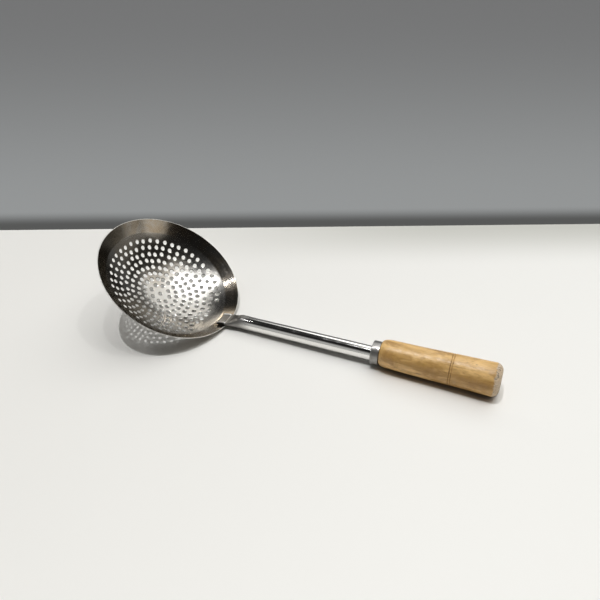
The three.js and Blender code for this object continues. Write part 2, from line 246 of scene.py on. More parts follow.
class Wire:
    """A shader value. Arithmetic on it adds Math nodes to its tree."""

    def __init__(self, nodes, socket):
        self.nodes = nodes
        self.socket = socket

    def maths(self, operation, *values):
        """One Math node."""
        return self.nodes.add("ShaderNodeMath", {"operation": operation}, dict(enumerate(values)))

    def __add__(self, other):
        return self.maths("ADD", self, other)

    def __radd__(self, other):
        return self.maths("ADD", other, self)

    def __sub__(self, other):
        return self.maths("SUBTRACT", self, other)

    def __rsub__(self, other):
        return self.maths("SUBTRACT", other, self)

    def __mul__(self, other):
        return self.maths("MULTIPLY", self, other)

    def __rmul__(self, other):
        return self.maths("MULTIPLY", other, self)

    def __pow__(self, other):
        return self.maths("POWER", self, other)

    def __rpow__(self, other):
        return self.maths("POWER", other, self)

    def __abs__(self):
        return self.maths("ABSOLUTE", self)

    def turn_from(self, other):
        """The angle around the origin of a point with this value across and the other one along."""
        return self.maths("ARCTAN2", self, other)

    def clamped(self):
        """Held between 0 and 1."""
        return self.maths("MINIMUM", self.maths("MAXIMUM", self, 0.0), 1.0)

    def between(self, low, high):
        """Goes smoothly from 0 at low to 1 at high."""
        settings = {"interpolation_type": "SMOOTHSTEP"}
        return self.nodes.add("ShaderNodeMapRange", settings, {0: self, 1: low, 2: high, 3: 0.0, 4: 1.0})


class Nodes:
    """The shader nodes of one material or world."""

    def __init__(self, tree):
        self.tree = tree
        tree.nodes.clear()

    def add(self, kind, settings=None, sockets=None, out=0):
        """Adds a node, sets it up, joins its sockets and gives one of its outputs."""
        node = self.tree.nodes.new(kind)
        for key, value in (settings or {}).items():
            setattr(node, key, value)
        for key, value in (sockets or {}).items():
            if isinstance(value, Wire):
                self.tree.links.new(value.socket, node.inputs[key])
            else:
                node.inputs[key].default_value = value
        return Wire(self, node.outputs[out]) if len(node.outputs) else None

    def place(self, name):
        """The coordinates that the mesh stores under a name, in millimetres."""
        return self.add("ShaderNodeAttribute", {"attribute_name": name}, out=1)

    def parts(self, vector):
        """The three numbers of a vector."""
        first = self.add("ShaderNodeSeparateXYZ", None, {0: vector})
        return [Wire(self, output) for output in first.socket.node.outputs]

    def vector(self, x, y, z):
        """A vector from three numbers."""
        return self.add("ShaderNodeCombineXYZ", None, {0: x, 1: y, 2: z})

    def dot(self, vector, direction):
        """How far a vector points in a direction."""
        sockets = {0: vector, 1: Vector(direction).normalized()}
        return self.add("ShaderNodeVectorMath", {"operation": "DOT_PRODUCT"}, sockets, out=1)

    def noise(self, vector, scale, detail=3.0, rough=0.5, distort=0.0):
        """Noise between 0 and 1."""
        sockets = {"Vector": vector, "Scale": scale, "Detail": detail}
        sockets.update({"Roughness": rough, "Distortion": distort})
        return self.add("ShaderNodeTexNoise", None, sockets)

    def grain(self, place, stretch, detail, rough, distort=0.0, shift=(0.0, 0.0, 0.0)):
        """Noise with a scale of its own along each direction."""
        sockets = {0: place, 1: stretch, 2: shift}
        stretched = self.add("ShaderNodeVectorMath", {"operation": "MULTIPLY_ADD"}, sockets)
        return self.noise(stretched, 1.0, detail, rough, distort)

    def mix(self, factor, first, second):
        """Mixes two colours."""
        tones = [v if isinstance(v, Wire) else (*v, 1.0) for v in (first, second)]
        sockets = {0: factor, 6: tones[0], 7: tones[1]}
        return self.add("ShaderNodeMix", {"data_type": "RGBA"}, sockets, out=2)

    def bump(self, height, strength, distance, normal=None):
        """A relief, on top of another one if that is given."""
        sockets = {"Height": height, "Strength": strength, "Distance": distance}
        if normal:
            sockets["Normal"] = normal
        return self.add("ShaderNodeBump", None, sockets)


def finish_of(name, sockets_of):
    """A material whose Principled shader takes the sockets that a function of its nodes gives."""
    material = bpy.data.materials.new(name)
    material.use_nodes = True
    nodes = Nodes(material.node_tree)
    sockets = sockets_of(nodes, bpy.context.scene.skimmer_finish)
    shader = nodes.add("ShaderNodeBsdfPrincipled", None, sockets)
    nodes.add("ShaderNodeOutputMaterial", None, {"Surface": shader})
    return material


# Finishes, whose places and sizes are in millimetres

def bowl_steel(nodes, looks):
    """Pressed and spun sheet: a blurred mirror with ring marks, stains and bare cut edges, with a painted
    highlight in the middle and painted shade on the near side and the band.
    """
    bowl = bpy.context.scene.skimmer_bowl
    rim = bowl.rim_radius * 1000
    crease = (bowl.rim_radius - bowl.band_width) * 1000
    place = nodes.place("bowl_place")
    x, y, z = nodes.parts(place)
    radius = (x * x + y * y) ** 0.5
    turn = y.turn_from(x)
    band = radius.between(crease - 0.6, crease + 0.6)
    lip = radius.between(rim - 0.35, rim - 0.05)
    rings = nodes.noise(nodes.vector(radius * 2.6, turn * 0.6, 0.0), 1.0, 4.0, 0.65)
    fine = nodes.noise(nodes.vector(radius * 9.0, turn * 1.5, z * 0.3), 1.0, 3.0, 0.6)
    stain = nodes.noise(place, 0.06, 4.0, 0.6, 0.6)
    spots = nodes.noise(place, 0.35, 3.0, 0.55)
    # Water stains, then painted shade: darker steel on the near side and on the band across from the stem
    warm = (band * stain.between(0.3, 0.62) * 0.9 + stain.between(0.45, 0.75) * 0.25).clamped()
    base = nodes.mix(warm, looks.bowl_steel, looks.bowl_tint)
    painted_shade_near = (y * -1 - x * 0.5).between(5.0, 50.0) * (0.6 + band * 0.3)
    painted_shade_band = band * (x * -1).between(22.0, 52.0) * (1 - y.between(0.0, 32.0)) * 0.75
    base = nodes.mix((painted_shade_near + painted_shade_band).clamped(), base, looks.bowl_painted_shade)
    # A painted highlight: brighter steel in the middle of the dish, then plain grey steel on the near side by
    # the stem
    along = x - PAINTED_HIGHLIGHT_PLACE[0]
    across = y - PAINTED_HIGHLIGHT_PLACE[1]
    painted_highlight = (1 - ((along * along + across * across) ** 0.5).between(8.0, 28.0)) * (1 - band)
    base = nodes.mix(painted_highlight * (0.45 + spots * 0.3), base, looks.bowl_painted_highlight)
    grey = (1 - y.between(-36.0, -14.0)) * x.between(2.0, 18.0)
    base = nodes.mix(grey * (1 - band) * 0.6, base, looks.bowl_grey)
    # Bare edges of the lip and of the holes
    cut = nodes.add("ShaderNodeAttribute", {"attribute_name": "cut_edge"}, out=2) * (1 - grey)
    base = nodes.mix((lip + cut).clamped() * 0.9, base, looks.bowl_edge)
    dull = spots.between(0.52, 0.75) * 0.06 + rings.between(0.35, 0.7) * 0.04
    rough = looks.bowl_rough + dull - band * 0.02 + (stain - 0.5) * 0.08
    rough = rough + lip * 0.28 + cut * 0.3
    relief = nodes.bump(nodes.noise(place, 0.11, 2.0, 0.5), 0.2, 0.0008)
    relief = nodes.bump(rings * 0.7 + fine * 0.3, 0.035, 0.0002, relief)
    return {"Base Color": base, "Metallic": 1 - cut * 0.7, "Roughness": rough, "Normal": relief,
            "Specular Tint": (*looks.bowl_glance, 1.0)}


def stem_steel(nodes, looks):
    """Polished tube with fine scratches along it, a dull neck, painted shade on its underside and a pressed
    end with painted highlights on its ridges and painted shade in the grooves beside them.
    """
    half = bpy.context.scene.skimmer_stem.tab_width * 500
    place = nodes.place("handle_place")
    x, y, z = nodes.parts(place)
    aside = abs(y)
    scratches = nodes.grain(place, (0.05, 5.0, 5.0), 4.0, 0.7)
    smudge = nodes.noise(place, 0.13, 3.0, 0.55, 0.4)
    neck = 1 - x.between(9.0, 27.0)
    tab = 1 - x.between(-1.4, -0.7)
    # Painted highlight along each ridge, painted shade in the groove outside it, and a painted highlight on
    # the fold
    ridge = aside.between(half - 2.2, half - 1.7) * (1 - aside.between(half - 1.1, half - 0.7)) * tab
    groove = aside.between(half - 0.9, half - 0.5) * tab
    fold = x.between(-1.5, -1.0) * (1 - x.between(-0.7, -0.2))
    # Painted shade: the tube darker on its underside
    under = 1 - (z + x * 0.012).between(-2.6, 0.8)
    base = nodes.mix(neck * (0.85 + smudge * 0.15), looks.stem_steel, looks.weld_grey_and_painted_shade)
    base = nodes.mix(under * 0.7, base, looks.weld_grey_and_painted_shade)
    # Painted highlight on the ridges and the fold, then painted shade in the grooves
    base = nodes.mix((ridge + fold * 0.7).clamped(), base, looks.painted_ridge_highlight)
    base = nodes.mix(groove * 0.85, base, looks.painted_groove_shade)
    rough = looks.stem_rough + scratches.between(0.45, 0.8) * 0.05 + smudge.between(0.45, 0.8) * 0.06
    rough = rough + neck * 0.3
    relief = nodes.bump(scratches * (1 - neck), 0.03, 0.0002)
    return {"Base Color": base, "Metallic": 1 - ridge * 0.5, "Roughness": rough, "Normal": relief}


def ferrule_steel(nodes, looks):
    """Satin ring with turning marks around it and finger smudges."""
    place = nodes.place("handle_place")
    rings = nodes.grain(place, (7.0, 0.25, 0.25), 4.0, 0.65)
    smudge = nodes.noise(place, 0.3, 4.0, 0.6, 0.8).between(0.4, 0.75)
    base = nodes.mix(smudge * 0.7, looks.ferrule_steel, looks.ferrule_smudge)
    rough = 0.3 + rings.between(0.3, 0.8) * 0.1 + smudge * 0.12
    relief = nodes.bump(nodes.noise(place, 0.25, 2.0), 0.25, 0.001)
    relief = nodes.bump(rings, 0.12, 0.0002, relief)
    return {"Base Color": base, "Metallic": 1.0, "Roughness": rough, "Normal": relief}


def grip_wood(nodes, looks):
    """Varnished turned wood: pale tan with streaks and pores along it, burnt lines, bare grey end grain."""
    grip = bpy.context.scene.skimmer_grip
    butt = grip.length * 1000
    place = nodes.place("handle_place")
    x, y, z = nodes.parts(place)
    cloud = nodes.grain(place, (0.035, 0.12, 0.12), 3.0, 0.55, 0.4)
    blotch = nodes.grain(place, (0.06, 0.16, 0.16), 3.0, 0.6, 0.8, (0.0, 0.0, 7.0))
    streak = nodes.grain(place, (0.03, 0.55, 0.55), 4.0, 0.6, 0.7)
    fibre = nodes.grain(place, (0.16, 3.2, 3.2), 3.0, 0.6)
    pores = nodes.grain(place, (0.35, 4.5, 4.5), 2.0, 0.5)
    nicks = nodes.grain(place, (0.22, 0.9, 0.9), 2.0, 0.4, 0.0, (0.0, 0.0, 3.0))
    worn = nodes.grain(place, (0.3, 0.13, 0.13), 3.0, 0.6, 0.0, (0.0, 1.0, 0.0)).between(0.42, 0.6)
    ragged = nodes.noise(place, 0.5, 3.0, 0.6)
    # Dark streaks over the pale and tan wood, painted shade on the grip's lower near side, then nicks and
    # pores
    # Painted shade: the grip darker low on the side towards the viewer
    under = (y * -0.07 - z * 0.035).between(0.35, 0.85) * cloud.between(0.3, 0.6)
    base = nodes.mix(cloud.between(0.35, 0.66), looks.wood_pale, looks.wood_tan)
    for amount in (blotch.between(0.48, 0.72) * 0.55, streak.between(0.52, 0.8) * 0.7,
                   fibre.between(0.5, 0.8) * 0.34, under * 0.5):
        base = nodes.mix(amount, base, looks.wood_dark)
    for amount in (nicks.between(0.72, 0.78) * 0.6, pores.between(0.66, 0.78) * 0.35):
        base = nodes.mix(amount, base, looks.wood_line)
    # Burnt lines, worn in places and faded on the underside
    lines = 0.0
    for i in range(SCRIBED_LINES):
        centre = (grip.line_place + grip.line_spacing * i) * 1000
        lines = 1 - abs(x - centre).between(0.12, 0.55) + lines
    burnt = lines * (0.25 + worn * 0.75) * (0.15 + z.between(-5.0, -1.5) * 0.85)
    base = nodes.mix(burnt.clamped() * 0.85, base, looks.wood_line)
    # Bare end grain with cracks
    end = (x + (ragged - 0.5) * 4.0).between(butt - 5.4, butt - 4.2)
    annual = nodes.noise(nodes.vector(0.0, y + 3.0, z + 2.0), 0.5, 4.0, 0.65, 1.2)
    wander = (annual - 0.5) * 5.0
    veins = nodes.vector(0.0, y + wander, z * 0.6 + wander)
    settings = {"feature": "DISTANCE_TO_EDGE"}
    cracks = nodes.add("ShaderNodeTexVoronoi", settings, {"Vector": veins, "Scale": 0.26})
    crack = 1 - cracks.between(0.01, 0.07)
    sawn = nodes.mix(annual.between(0.38, 0.66), looks.end_grain, looks.end_pale)
    sawn = nodes.mix(crack * ragged.between(0.35, 0.6) * 0.85, sawn, looks.end_crack)
    base = nodes.mix(end, base, sawn)
    rough = 0.4 + (cloud - 0.5) * 0.22 + fibre.between(0.5, 0.85) * 0.08 + end * 0.3
    varnish = (1 - end) * (0.1 + worn * 0.3)
    relief = nodes.bump(nodes.noise(place, 0.13, 3.0), 0.42, 0.003)
    relief = nodes.bump(fibre * 0.5 + streak * 0.5 - crack * end * 2.0, 0.22, 0.0004, relief)
    return {"Base Color": base, "Roughness": rough, "Normal": relief, "Coat Weight": varnish,
            "Coat Roughness": 0.3, "Specular IOR Level": 0.35}


# Frames of the pieces in the row, and what all pieces share

def handle_frame():
    """The handle's frame: X along the stem from the lip to the butt, origin on the stem's axis at the lip."""
    scene = bpy.context.scene
    mount = frame["record"]["mounts"][0]
    along = Vector(mount["axis"]).normalized()
    across = Vector((0.0, 1.0, 0.0))
    up = along.cross(across)
    reach = scene.skimmer_stem.length + scene.skimmer_grip.ferrule_length + scene.skimmer_grip.length
    origin = Vector(mount["pos_m"]) - along * reach - up * scene.skimmer_grip.bore_drop
    turn = Matrix((along, across, up)).transposed().to_4x4()
    return Matrix.Translation(origin) @ turn


def bowl_frame():
    """The bowl's frame: its axis on Z, the middle of its lip at the origin, X towards the stem."""
    bowl = bpy.context.scene.skimmer_bowl
    rise = bpy.context.scene.skimmer_stem.rise
    lean = bowl.set_angle
    centre = Vector((-bowl.rim_radius * math.cos(lean), 0.0, -rise + bowl.rim_radius * math.sin(lean)))
    return handle_frame() @ Matrix.Translation(centre) @ Matrix.Rotation(lean, 4, "Y")


def new_piece(name, points, faces, material, to_row, places, normals=None):
    """Makes a smooth mesh from points in a piece's own frame, and stores its places in millimetres."""
    mesh = bpy.data.meshes.new(name)
    mesh.from_pydata([to_row @ Vector(p) for p in points], [], faces)
    mesh.materials.append(material)
    mesh.shade_smooth()
    key, values = places
    stored = mesh.attributes.new(key, "FLOAT_VECTOR", "POINT")
    stored.data.foreach_set("vector", (np.asarray(values, dtype=np.float32) * 1000).ravel())
    if normals is not None:
        turn = to_row.to_3x3()
        mesh.normals_split_custom_set([turn @ Vector(n) for n in normals])
    mesh.update()
    piece = bpy.data.objects.new(name, mesh)
    bpy.context.scene.collection.objects.link(piece)
    return piece


def settle(piece, node):
    """The piece stands for a node of the frame and moves with it."""
    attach(piece, "root")
    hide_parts(node)


def on_circle(around):
    """The point of a circle of radius 1 in plan at an angle."""
    return Vector((math.cos(around), math.sin(around)))


def ring_faces(rings, sides):
    """Faces between rings of points that follow one another."""
    faces = []
    for r in range(rings - 1):
        for i in range(sides):
            j = (i + 1) % sides
            faces.append((r * sides + i, r * sides + j, (r + 1) * sides + j, (r + 1) * sides + i))
    return faces


def smooth(value, low, high):
    """Goes smoothly from 0 at low to 1 at high."""
    t = min(1.0, max(0.0, (value - low) / (high - low)))
    return t * t * (3 - 2 * t)


# Bowl

def stray(seed):
    """A repeatable stray of a hand-held punch, from -1 to 1."""
    wave = math.sin(seed * 12.9898) * 43758.5453
    return 2 * (wave - math.floor(wave)) - 1


def hole_places(bowl):
    """Where the holes are: the arc from the bowl's axis and the angle from the stem."""
    curve = bowl.dish_curve
    last = len(HOLES_PER_RING) - 1
    first_lean = math.asin(bowl.first_ring / curve)
    last_lean = math.asin((bowl.rim_radius - bowl.band_width - bowl.hole_margin) / curve)
    step = (last_lean - first_lean) / (last - 1)
    places = []
    for ring, count in enumerate(HOLES_PER_RING):
        ring_radius = curve * math.sin(first_lean + step * (ring - 1)) if ring else 0.0
        across = math.pi * ring_radius / count if ring else bowl.first_ring / 2
        room = min(across, curve * step / 2) - (bowl.hole + bowl.least_web) / 2
        scatter = max(0.0, min(bowl.scatter, room))
        for i in range(count):
            turn = (i + 0.5) / count
            from_stem = 2 * math.pi * min(turn, 1 - turn)
            if ring == last and from_stem < bowl.plain_angle:
                continue
            seed = ring * 100 + i + 0.5
            radius = ring_radius + (scatter * stray(seed) if ring else 0.0)
            around = 2 * math.pi * turn + scatter * stray(seed + 7) / max(radius, bowl.first_ring)
            places.append((curve * math.asin(radius / curve), around))
    return places


def dish_plan(bowl):
    """Points of the dish in plan, where the distance from the middle is the arc along the dish."""
    curve = bowl.dish_curve
    sides = bowl.hole_sides
    points, dips, slopes, loops = [], [], [], []
    circle = [2 * math.pi * k / sides for k in range(sides)]
    for arc, around in hole_places(bowl):
        centre = Vector((arc * math.cos(around), arc * math.sin(around)))
        loop_start = len(points)
        for level in LIP_LEVELS:
            away = bowl.lip_reach * level
            dip = bowl.lip_dip * (1 - level) ** 2
            fall = 2 * bowl.lip_dip * (1 - level) / bowl.lip_reach
            for bearing in circle:
                bearing += level * math.pi / sides
                out = on_circle(bearing)
                points.append(centre + out * (bowl.hole / 2 + away))
                dips.append(dip)
                slopes.append(out * fall)
        loops.append([loop_start + k for k in range(sides)])
    edge_arc = curve * math.asin((bowl.rim_radius - bowl.band_width - CREASE_TO_DISH) / curve)
    edge_start = len(points)
    for k in range(bowl.segments):
        around = 2 * math.pi * k / bowl.segments
        points.append(on_circle(around) * edge_arc)
    edge = list(range(edge_start, len(points)))
    for k in range(EDGE_POINTS):
        around = 2 * math.pi * (k + 0.5) / EDGE_POINTS
        points.append(on_circle(around) * (edge_arc - EDGE_POINTS_IN))
    for k in range(-STEM_POINTS, STEM_POINTS + 1):
        around = bowl.plain_angle * 0.95 * k / STEM_POINTS
        points.append(on_circle(around) * (edge_arc - STEM_POINTS_IN))
    rest = len(points) - len(dips)
    dips.extend([0.0] * rest)
    slopes.extend([Vector((0.0, 0.0))] * rest)
    return points, dips, slopes, loops, edge


def dish_faces(points, loops, edge):
    """Triangles between the holes, from a Delaunay triangulation of the plan."""
    owner = {}
    for number, loop in enumerate(loops):
        for i in loop:
            owner[i] = number
    rims = [(loop[k], loop[(k + 1) % len(loop)]) for loop in loops + [edge] for k in range(len(loop))]
    made = delaunay_2d_cdt(points, rims, [], 0, 1e-9, True)
    source = [ids[0] for ids in made[3]]
    faces = []
    for face in made[2]:
        a, b, c = (source[i] for i in face)
        held = owner.get(a, -1)
        if held >= 0 and owner.get(b, -2) == held and owner.get(c, -2) == held:
            continue
        cross = (points[b] - points[a]).cross(points[c] - points[a])
        faces.append((a, b, c) if cross > 0 else (a, c, b))
    return faces


def band_profile(bowl):
    """The band from the crease, around the lip, to the outside, as points and normals in section."""
    slope = bowl.band_slope
    along = Vector((math.cos(slope), math.sin(slope)))
    across = Vector((math.sin(slope), -math.cos(slope)))
    corner = bowl.sheet * 0.22
    crease = Vector((bowl.rim_radius - bowl.band_width, -bowl.band_width * math.tan(slope)))
    near = Vector((bowl.rim_radius, 0.0)) - along * corner + across * corner
    far = near + across * (bowl.sheet - 2 * corner)
    start = crease + along * CREASE_TO_BAND
    inside = [start + (near - across * corner - start) * (i / 8) for i in range(9)]
    profile = [(p, -across) for p in inside]
    for middle, first in ((near, 0), (far, 4)):
        for i in range(5):
            bend = math.pi * (first + i) / 8
            out = along * math.sin(bend) - across * math.cos(bend)
            profile.append((middle + out * corner, out))
    profile.extend([(p + across * bowl.sheet, across) for p in reversed(inside)])
    return profile


def make_bowl():
    """The perforated bowl as one closed sheet with round, drawn-in holes and a rounded lip."""
    bowl = bpy.context.scene.skimmer_bowl
    curve = bowl.dish_curve
    crease = bowl.rim_radius - bowl.band_width
    centre_z = math.sqrt(curve ** 2 - crease ** 2) - bowl.band_width * math.tan(bowl.band_slope)
    centre = Vector((0.0, 0.0, centre_z))
    plan, dips, slopes, loops, edge = dish_plan(bowl)
    count = len(plan)
    points, turned = [], []
    for layer in (0.0, bowl.sheet):
        for spot, dip, slope in zip(plan, dips, slopes):
            lean = spot.length / curve
            around = math.atan2(spot.y, spot.x)
            out = on_circle(around).to_3d()
            side = Vector((-out.y, out.x, 0.0))
            down = out * math.sin(lean) - Vector((0.0, 0.0, math.cos(lean)))
            outward = out * math.cos(lean) + Vector((0.0, 0.0, math.sin(lean)))
            if layer:
                points.append(centre + down * (curve + layer))
                turned.append(down)
                continue
            points.append(centre + down * (curve + dip))
            radial = slope.x * math.cos(around) + slope.y * math.sin(around)
            sideways = -slope.x * math.sin(around) + slope.y * math.cos(around)
            turned.append((-down - outward * radial - side * sideways).normalized())
    faces, normals = [], []

    def add(face, its_normals):
        faces.append(face)
        normals.extend(its_normals)

    for a, b, c in dish_faces(plan, loops, edge):
        add((a, b, c), [turned[a], turned[b], turned[c]])
        low = (a + count, c + count, b + count)
        add(low, [turned[i] for i in low])
    first_wall = len(faces)
    for loop in loops:
        middle = sum((points[i] for i in loop), Vector()) / len(loop)
        for k, i in enumerate(loop):
            j = loop[(k + 1) % len(loop)]
            face = (i, j, j + count, i + count)
            add(face, [(middle - points[v]).normalized() for v in (i, j, j, i)])
    walls = range(first_wall, len(faces))
    rings = [edge]
    ring_normals = [[turned[i] for i in edge]]
    for spot, normal in band_profile(bowl):
        ring, its_normals = [], []
        for k in range(bowl.segments):
            out = on_circle(2 * math.pi * k / bowl.segments).to_3d()
            ring.append(len(points))
            points.append(out * spot.x + Vector((0.0, 0.0, spot.y)))
            its_normals.append(out * normal.x + Vector((0.0, 0.0, normal.y)))
        rings.append(ring)
        ring_normals.append(its_normals)
    rings.append([i + count for i in edge])
    ring_normals.append([turned[i + count] for i in edge])
    for r in range(len(rings) - 1):
        for k in range(bowl.segments):
            j = (k + 1) % bowl.segments
            face = (rings[r][k], rings[r + 1][k], rings[r + 1][j], rings[r][j])
            near, far = ring_normals[r], ring_normals[r + 1]
            add(face, [near[k], far[k], far[j], near[j]])
    steel = finish_of("bowl_steel_wear_and_painted_light", bowl_steel)
    places = ("bowl_place", points)
    piece = new_piece("skimmer_bowl", points, faces, steel, bowl_frame(), places, normals)
    cut = piece.data.attributes.new("cut_edge", "FLOAT", "FACE")
    cut.data.foreach_set("value", [float(i in walls) for i in range(len(faces))])
    settle(piece, "perforated_bowl")


# Stem

def pressed_outline(stem, turn, ridge):
    """The pressed end's outline at a turn from 0 to 1: thin in the middle, a ridge along each side."""
    half_width = stem.tab_width / 2
    across = half_width * math.cos(turn * 2 * math.pi)
    from_side = half_width - abs(across)
    rounded = min(1.0, from_side / stem.wall)
    half = stem.wall * math.sqrt(1 - (1 - rounded) ** 2)
    in_ridge = max(0.0, 1 - abs(from_side / stem.ridge_width - 0.5) * 2)
    swell = ridge * stem.ridge * math.sin(in_ridge * math.pi / 2)
    sunk = ridge * TAB_SUNK * smooth(from_side, stem.ridge_width * 0.8, stem.ridge_width * 1.15)
    return (across, half + swell - sunk) if math.sin(turn * 2 * math.pi) > 0 else (across, -half)


def stem_section(stem, bowl, place, flatness, ridge, sides):
    """One ring of points around the stem, in the handle's frame."""
    pitch_all = bowl.band_slope - bowl.set_angle
    inside = max(0.0, -place)
    x = place if place >= 0 else -inside * math.cos(pitch_all)
    pitch = pitch_all * smooth(inside, 0.0, stem.wall)
    lip = -stem.rise + bowl.sheet / 2 * math.sin(bowl.set_angle)
    height = flatness * (lip + stem.gap + stem.wall) - inside * math.sin(pitch_all)
    hug_radius = bowl.rim_radius / math.sin(bowl.band_slope)
    ring = []
    for i in range(sides):
        turn = (i + 0.5) / sides
        round_across = stem.diameter / 2 * math.cos(turn * 2 * math.pi)
        round_up = stem.diameter / 2 * math.sin(turn * 2 * math.pi)
        flat_across, flat_up = pressed_outline(stem, turn, ridge)
        across = round_across + (flat_across - round_across) * flatness
        up = round_up + (flat_up - round_up) * flatness + flatness * across ** 2 / (2 * hug_radius)
        ring.append(Vector((x + up * math.sin(pitch), across, height + up * math.cos(pitch))))
    return ring


def make_stem():
    """The tube with its pressed end, hollow from the grip up to the neck."""
    scene = bpy.context.scene
    stem, bowl = scene.skimmer_stem, scene.skimmer_bowl
    sides = STEM_SIDES
    end = stem.length + scene.skimmer_grip.ferrule_length + stem.buried
    rings = []
    for part in TAB_RINGS:
        ridge = smooth(part, 0.14, 0.24) * (1 - 0.5 * smooth(part, 0.96, 1.0))
        rings.append(stem_section(stem, bowl, -stem.tab_reach * part, 1.0, ridge, sides))
    for i in range(NECK_STEPS + 1):
        along = i / NECK_STEPS
        rings.append(stem_section(stem, bowl, stem.neck * along, 1 - smooth(along, 0.0, 1.0), 0.0, sides))
    for i in range(1, TUBE_STEPS + 1):
        place = stem.neck + (end - stem.neck) * i / TUBE_STEPS
        rings.append(stem_section(stem, bowl, place, 0.0, 0.0, sides))
    inner = stem.diameter / 2 - stem.wall
    bore = [2 * math.pi * (i + 0.5) / sides for i in range(sides)]
    for place in (end, stem.neck + stem.wall):
        rings.append([Vector((place, inner * math.cos(a), inner * math.sin(a))) for a in bore])
    points = [p for ring in rings for p in ring]
    faces = [tuple(reversed(range(sides))), *ring_faces(len(rings), sides)]
    faces.append(tuple(range(len(points) - sides, len(points))))
    steel = finish_of("polished_stem_steel", stem_steel)
    piece = new_piece("skimmer_stem", points, faces, steel, handle_frame(), ("handle_place", points))
    piece.data.set_sharp_from_angle(angle=math.radians(40))
    settle(piece, "stem_tube")


# Ferrule and grip

def lathe(profile, sides, start, drop, wobble):
    """Turns (place, radius) points about an axis along X that is above the stem's axis by drop."""
    points, places = [], []
    for place, radius in profile:
        for i in range(sides):
            around = 2 * math.pi * i / sides
            r = radius + wobble(place, around, radius)
            across, up = r * math.cos(around), r * math.sin(around)
            points.append(Vector((start + place, across, drop + up)))
            places.append(Vector((place, across, up)))
    return points, ("handle_place", places), ring_faces(len(profile), sides)


def make_ferrule():
    """The steel ring, with its edges broken and a slight dent."""
    scene = bpy.context.scene
    stem, grip = scene.skimmer_stem, scene.skimmer_grip
    end = grip.ferrule_length - stem.gap
    outer, inner = grip.ferrule_radius, grip.ferrule_radius - grip.ferrule_wall
    edge = EDGE_SIZE
    profile = [(0.0, inner)]
    profile += [(edge * along, outer - edge * below) for along, below in EDGE_STEPS]
    profile += [(edge * 2 + (end - edge * 4) * i / 6, outer) for i in range(7)]
    profile += [(end - edge * along, outer - edge * below) for along, below in reversed(EDGE_STEPS)]
    profile += [(end, inner), (0.0, inner)]

    def dent(place, around, radius):
        """A knock on the near side, and a ring that isn't quite round."""
        knock = DENT_DEPTH * math.exp(-((around - DENT_PLACE) / DENT_WIDTH) ** 2)
        return -knock - DENT_DEPTH / 2 * math.sin(2 * around + 0.6) ** 2

    drop = grip.bore_drop - grip.tenon_drop
    points, places, faces = lathe(profile, FERRULE_SIDES, stem.length, drop, dent)
    steel = finish_of("satin_ferrule_steel", ferrule_steel)
    piece = new_piece("skimmer_ferrule", points, faces, steel, handle_frame(), places)
    piece.data.set_sharp_from_angle(angle=math.radians(50))
    settle(piece, "ferrule")


def grip_profile(grip, nose):
    """The grip's outline from its front face to its butt, as (place, radius) from the ferrule."""
    front, butt = grip.front / 2, grip.butt / 2

    def taper(place):
        return front + (butt - front) * place / grip.length

    profile = [(0.0, BORE_RADIUS), (0.0, nose - 0.0006), (0.0001, nose - 0.0002)]
    rise = taper(grip.shoulder) - nose
    for i in range(1, 15):
        turn = math.pi / 2 * i / 14
        profile.append((grip.shoulder * (1 - math.cos(turn)), nose + rise * math.sin(turn)))
    half = grip.line_width / 2
    stops = []
    for i in range(SCRIBED_LINES):
        centre = grip.line_place + grip.line_spacing * i
        stops += [(centre - half, 0.0), (centre - half * 0.5, 0.7), (centre, 1.0)]
        stops += [(centre + half * 0.5, 0.7), (centre + half, 0.0)]
    body_start, body_end = grip.shoulder, grip.length - grip.butt_round
    plain = [body_start + (body_end - body_start) * i / GRIP_STEPS for i in range(1, GRIP_STEPS)]
    first, last = stops[0][0], stops[-1][0]
    stops += [(p, 0.0) for p in plain if p < first - 0.0002 or p > last + 0.0002]
    for place, depth in sorted(stops):
        profile.append((place, taper(place) - grip.line_depth * depth))
    for i in range(13):
        turn = math.pi / 2 * i / 12
        drop = grip.butt_round * (1 - math.cos(turn))
        profile.append((grip.length - grip.butt_round * (1 - math.sin(turn)), butt - drop))
    for i in range(1, 8):
        profile.append((grip.length, (butt - grip.butt_round) * (1 - i / 8)))
    profile.append((grip.length, 0.0002))
    return profile


def make_grip():
    """The turned wooden grip, a little uneven, with scribed lines and a worn butt."""
    scene = bpy.context.scene
    stem, grip = scene.skimmer_stem, scene.skimmer_grip
    nose = grip.ferrule_radius - grip.tenon_drop / 2
    start = stem.length + grip.ferrule_length

    def worn(place, around, radius):
        """Slow waves and flats of hand turning, and chips around the butt."""
        long_wave = 0.00009 * math.sin(place * 95 + 2 * math.sin(around)) * smooth(place, 0.0, 0.012)
        flat = 0.00008 * math.sin(3 * around + place * 40)
        chip = smooth(place, grip.length - 0.0062, grip.length - 0.003)
        bite = 0.5 + 0.5 * math.sin(7 * around + 1.3 * math.sin(3 * around + 1.0))
        chips = -0.00035 * chip * bite ** 3 - 0.0001 * chip * math.sin(17 * around)
        return (long_wave + flat - 0.00012 + chips) * smooth(radius, 0.0, 0.006)

    profile = grip_profile(grip, nose)
    points, places, faces = lathe(profile, GRIP_SIDES, start, grip.bore_drop, worn)
    faces.append(tuple(range(len(points) - GRIP_SIDES, len(points))))
    wood = finish_of("varnished_grip_wood", grip_wood)
    piece = new_piece("skimmer_grip", points, faces, wood, handle_frame(), places)
    piece.data.set_sharp_from_angle(angle=math.radians(55))
    settle(piece, "wooden_grip")


# Stage

def sheet_object(name, corners, material):
    """A plain sheet that belongs to the stage."""
    mesh = bpy.data.meshes.new(name)
    mesh.from_pydata(corners, [], [(0, 1, 2, 3)])
    mesh.materials.append(material)
    sheet = bpy.data.objects.new(name, mesh)
    bpy.context.scene.collection.objects.link(sheet)


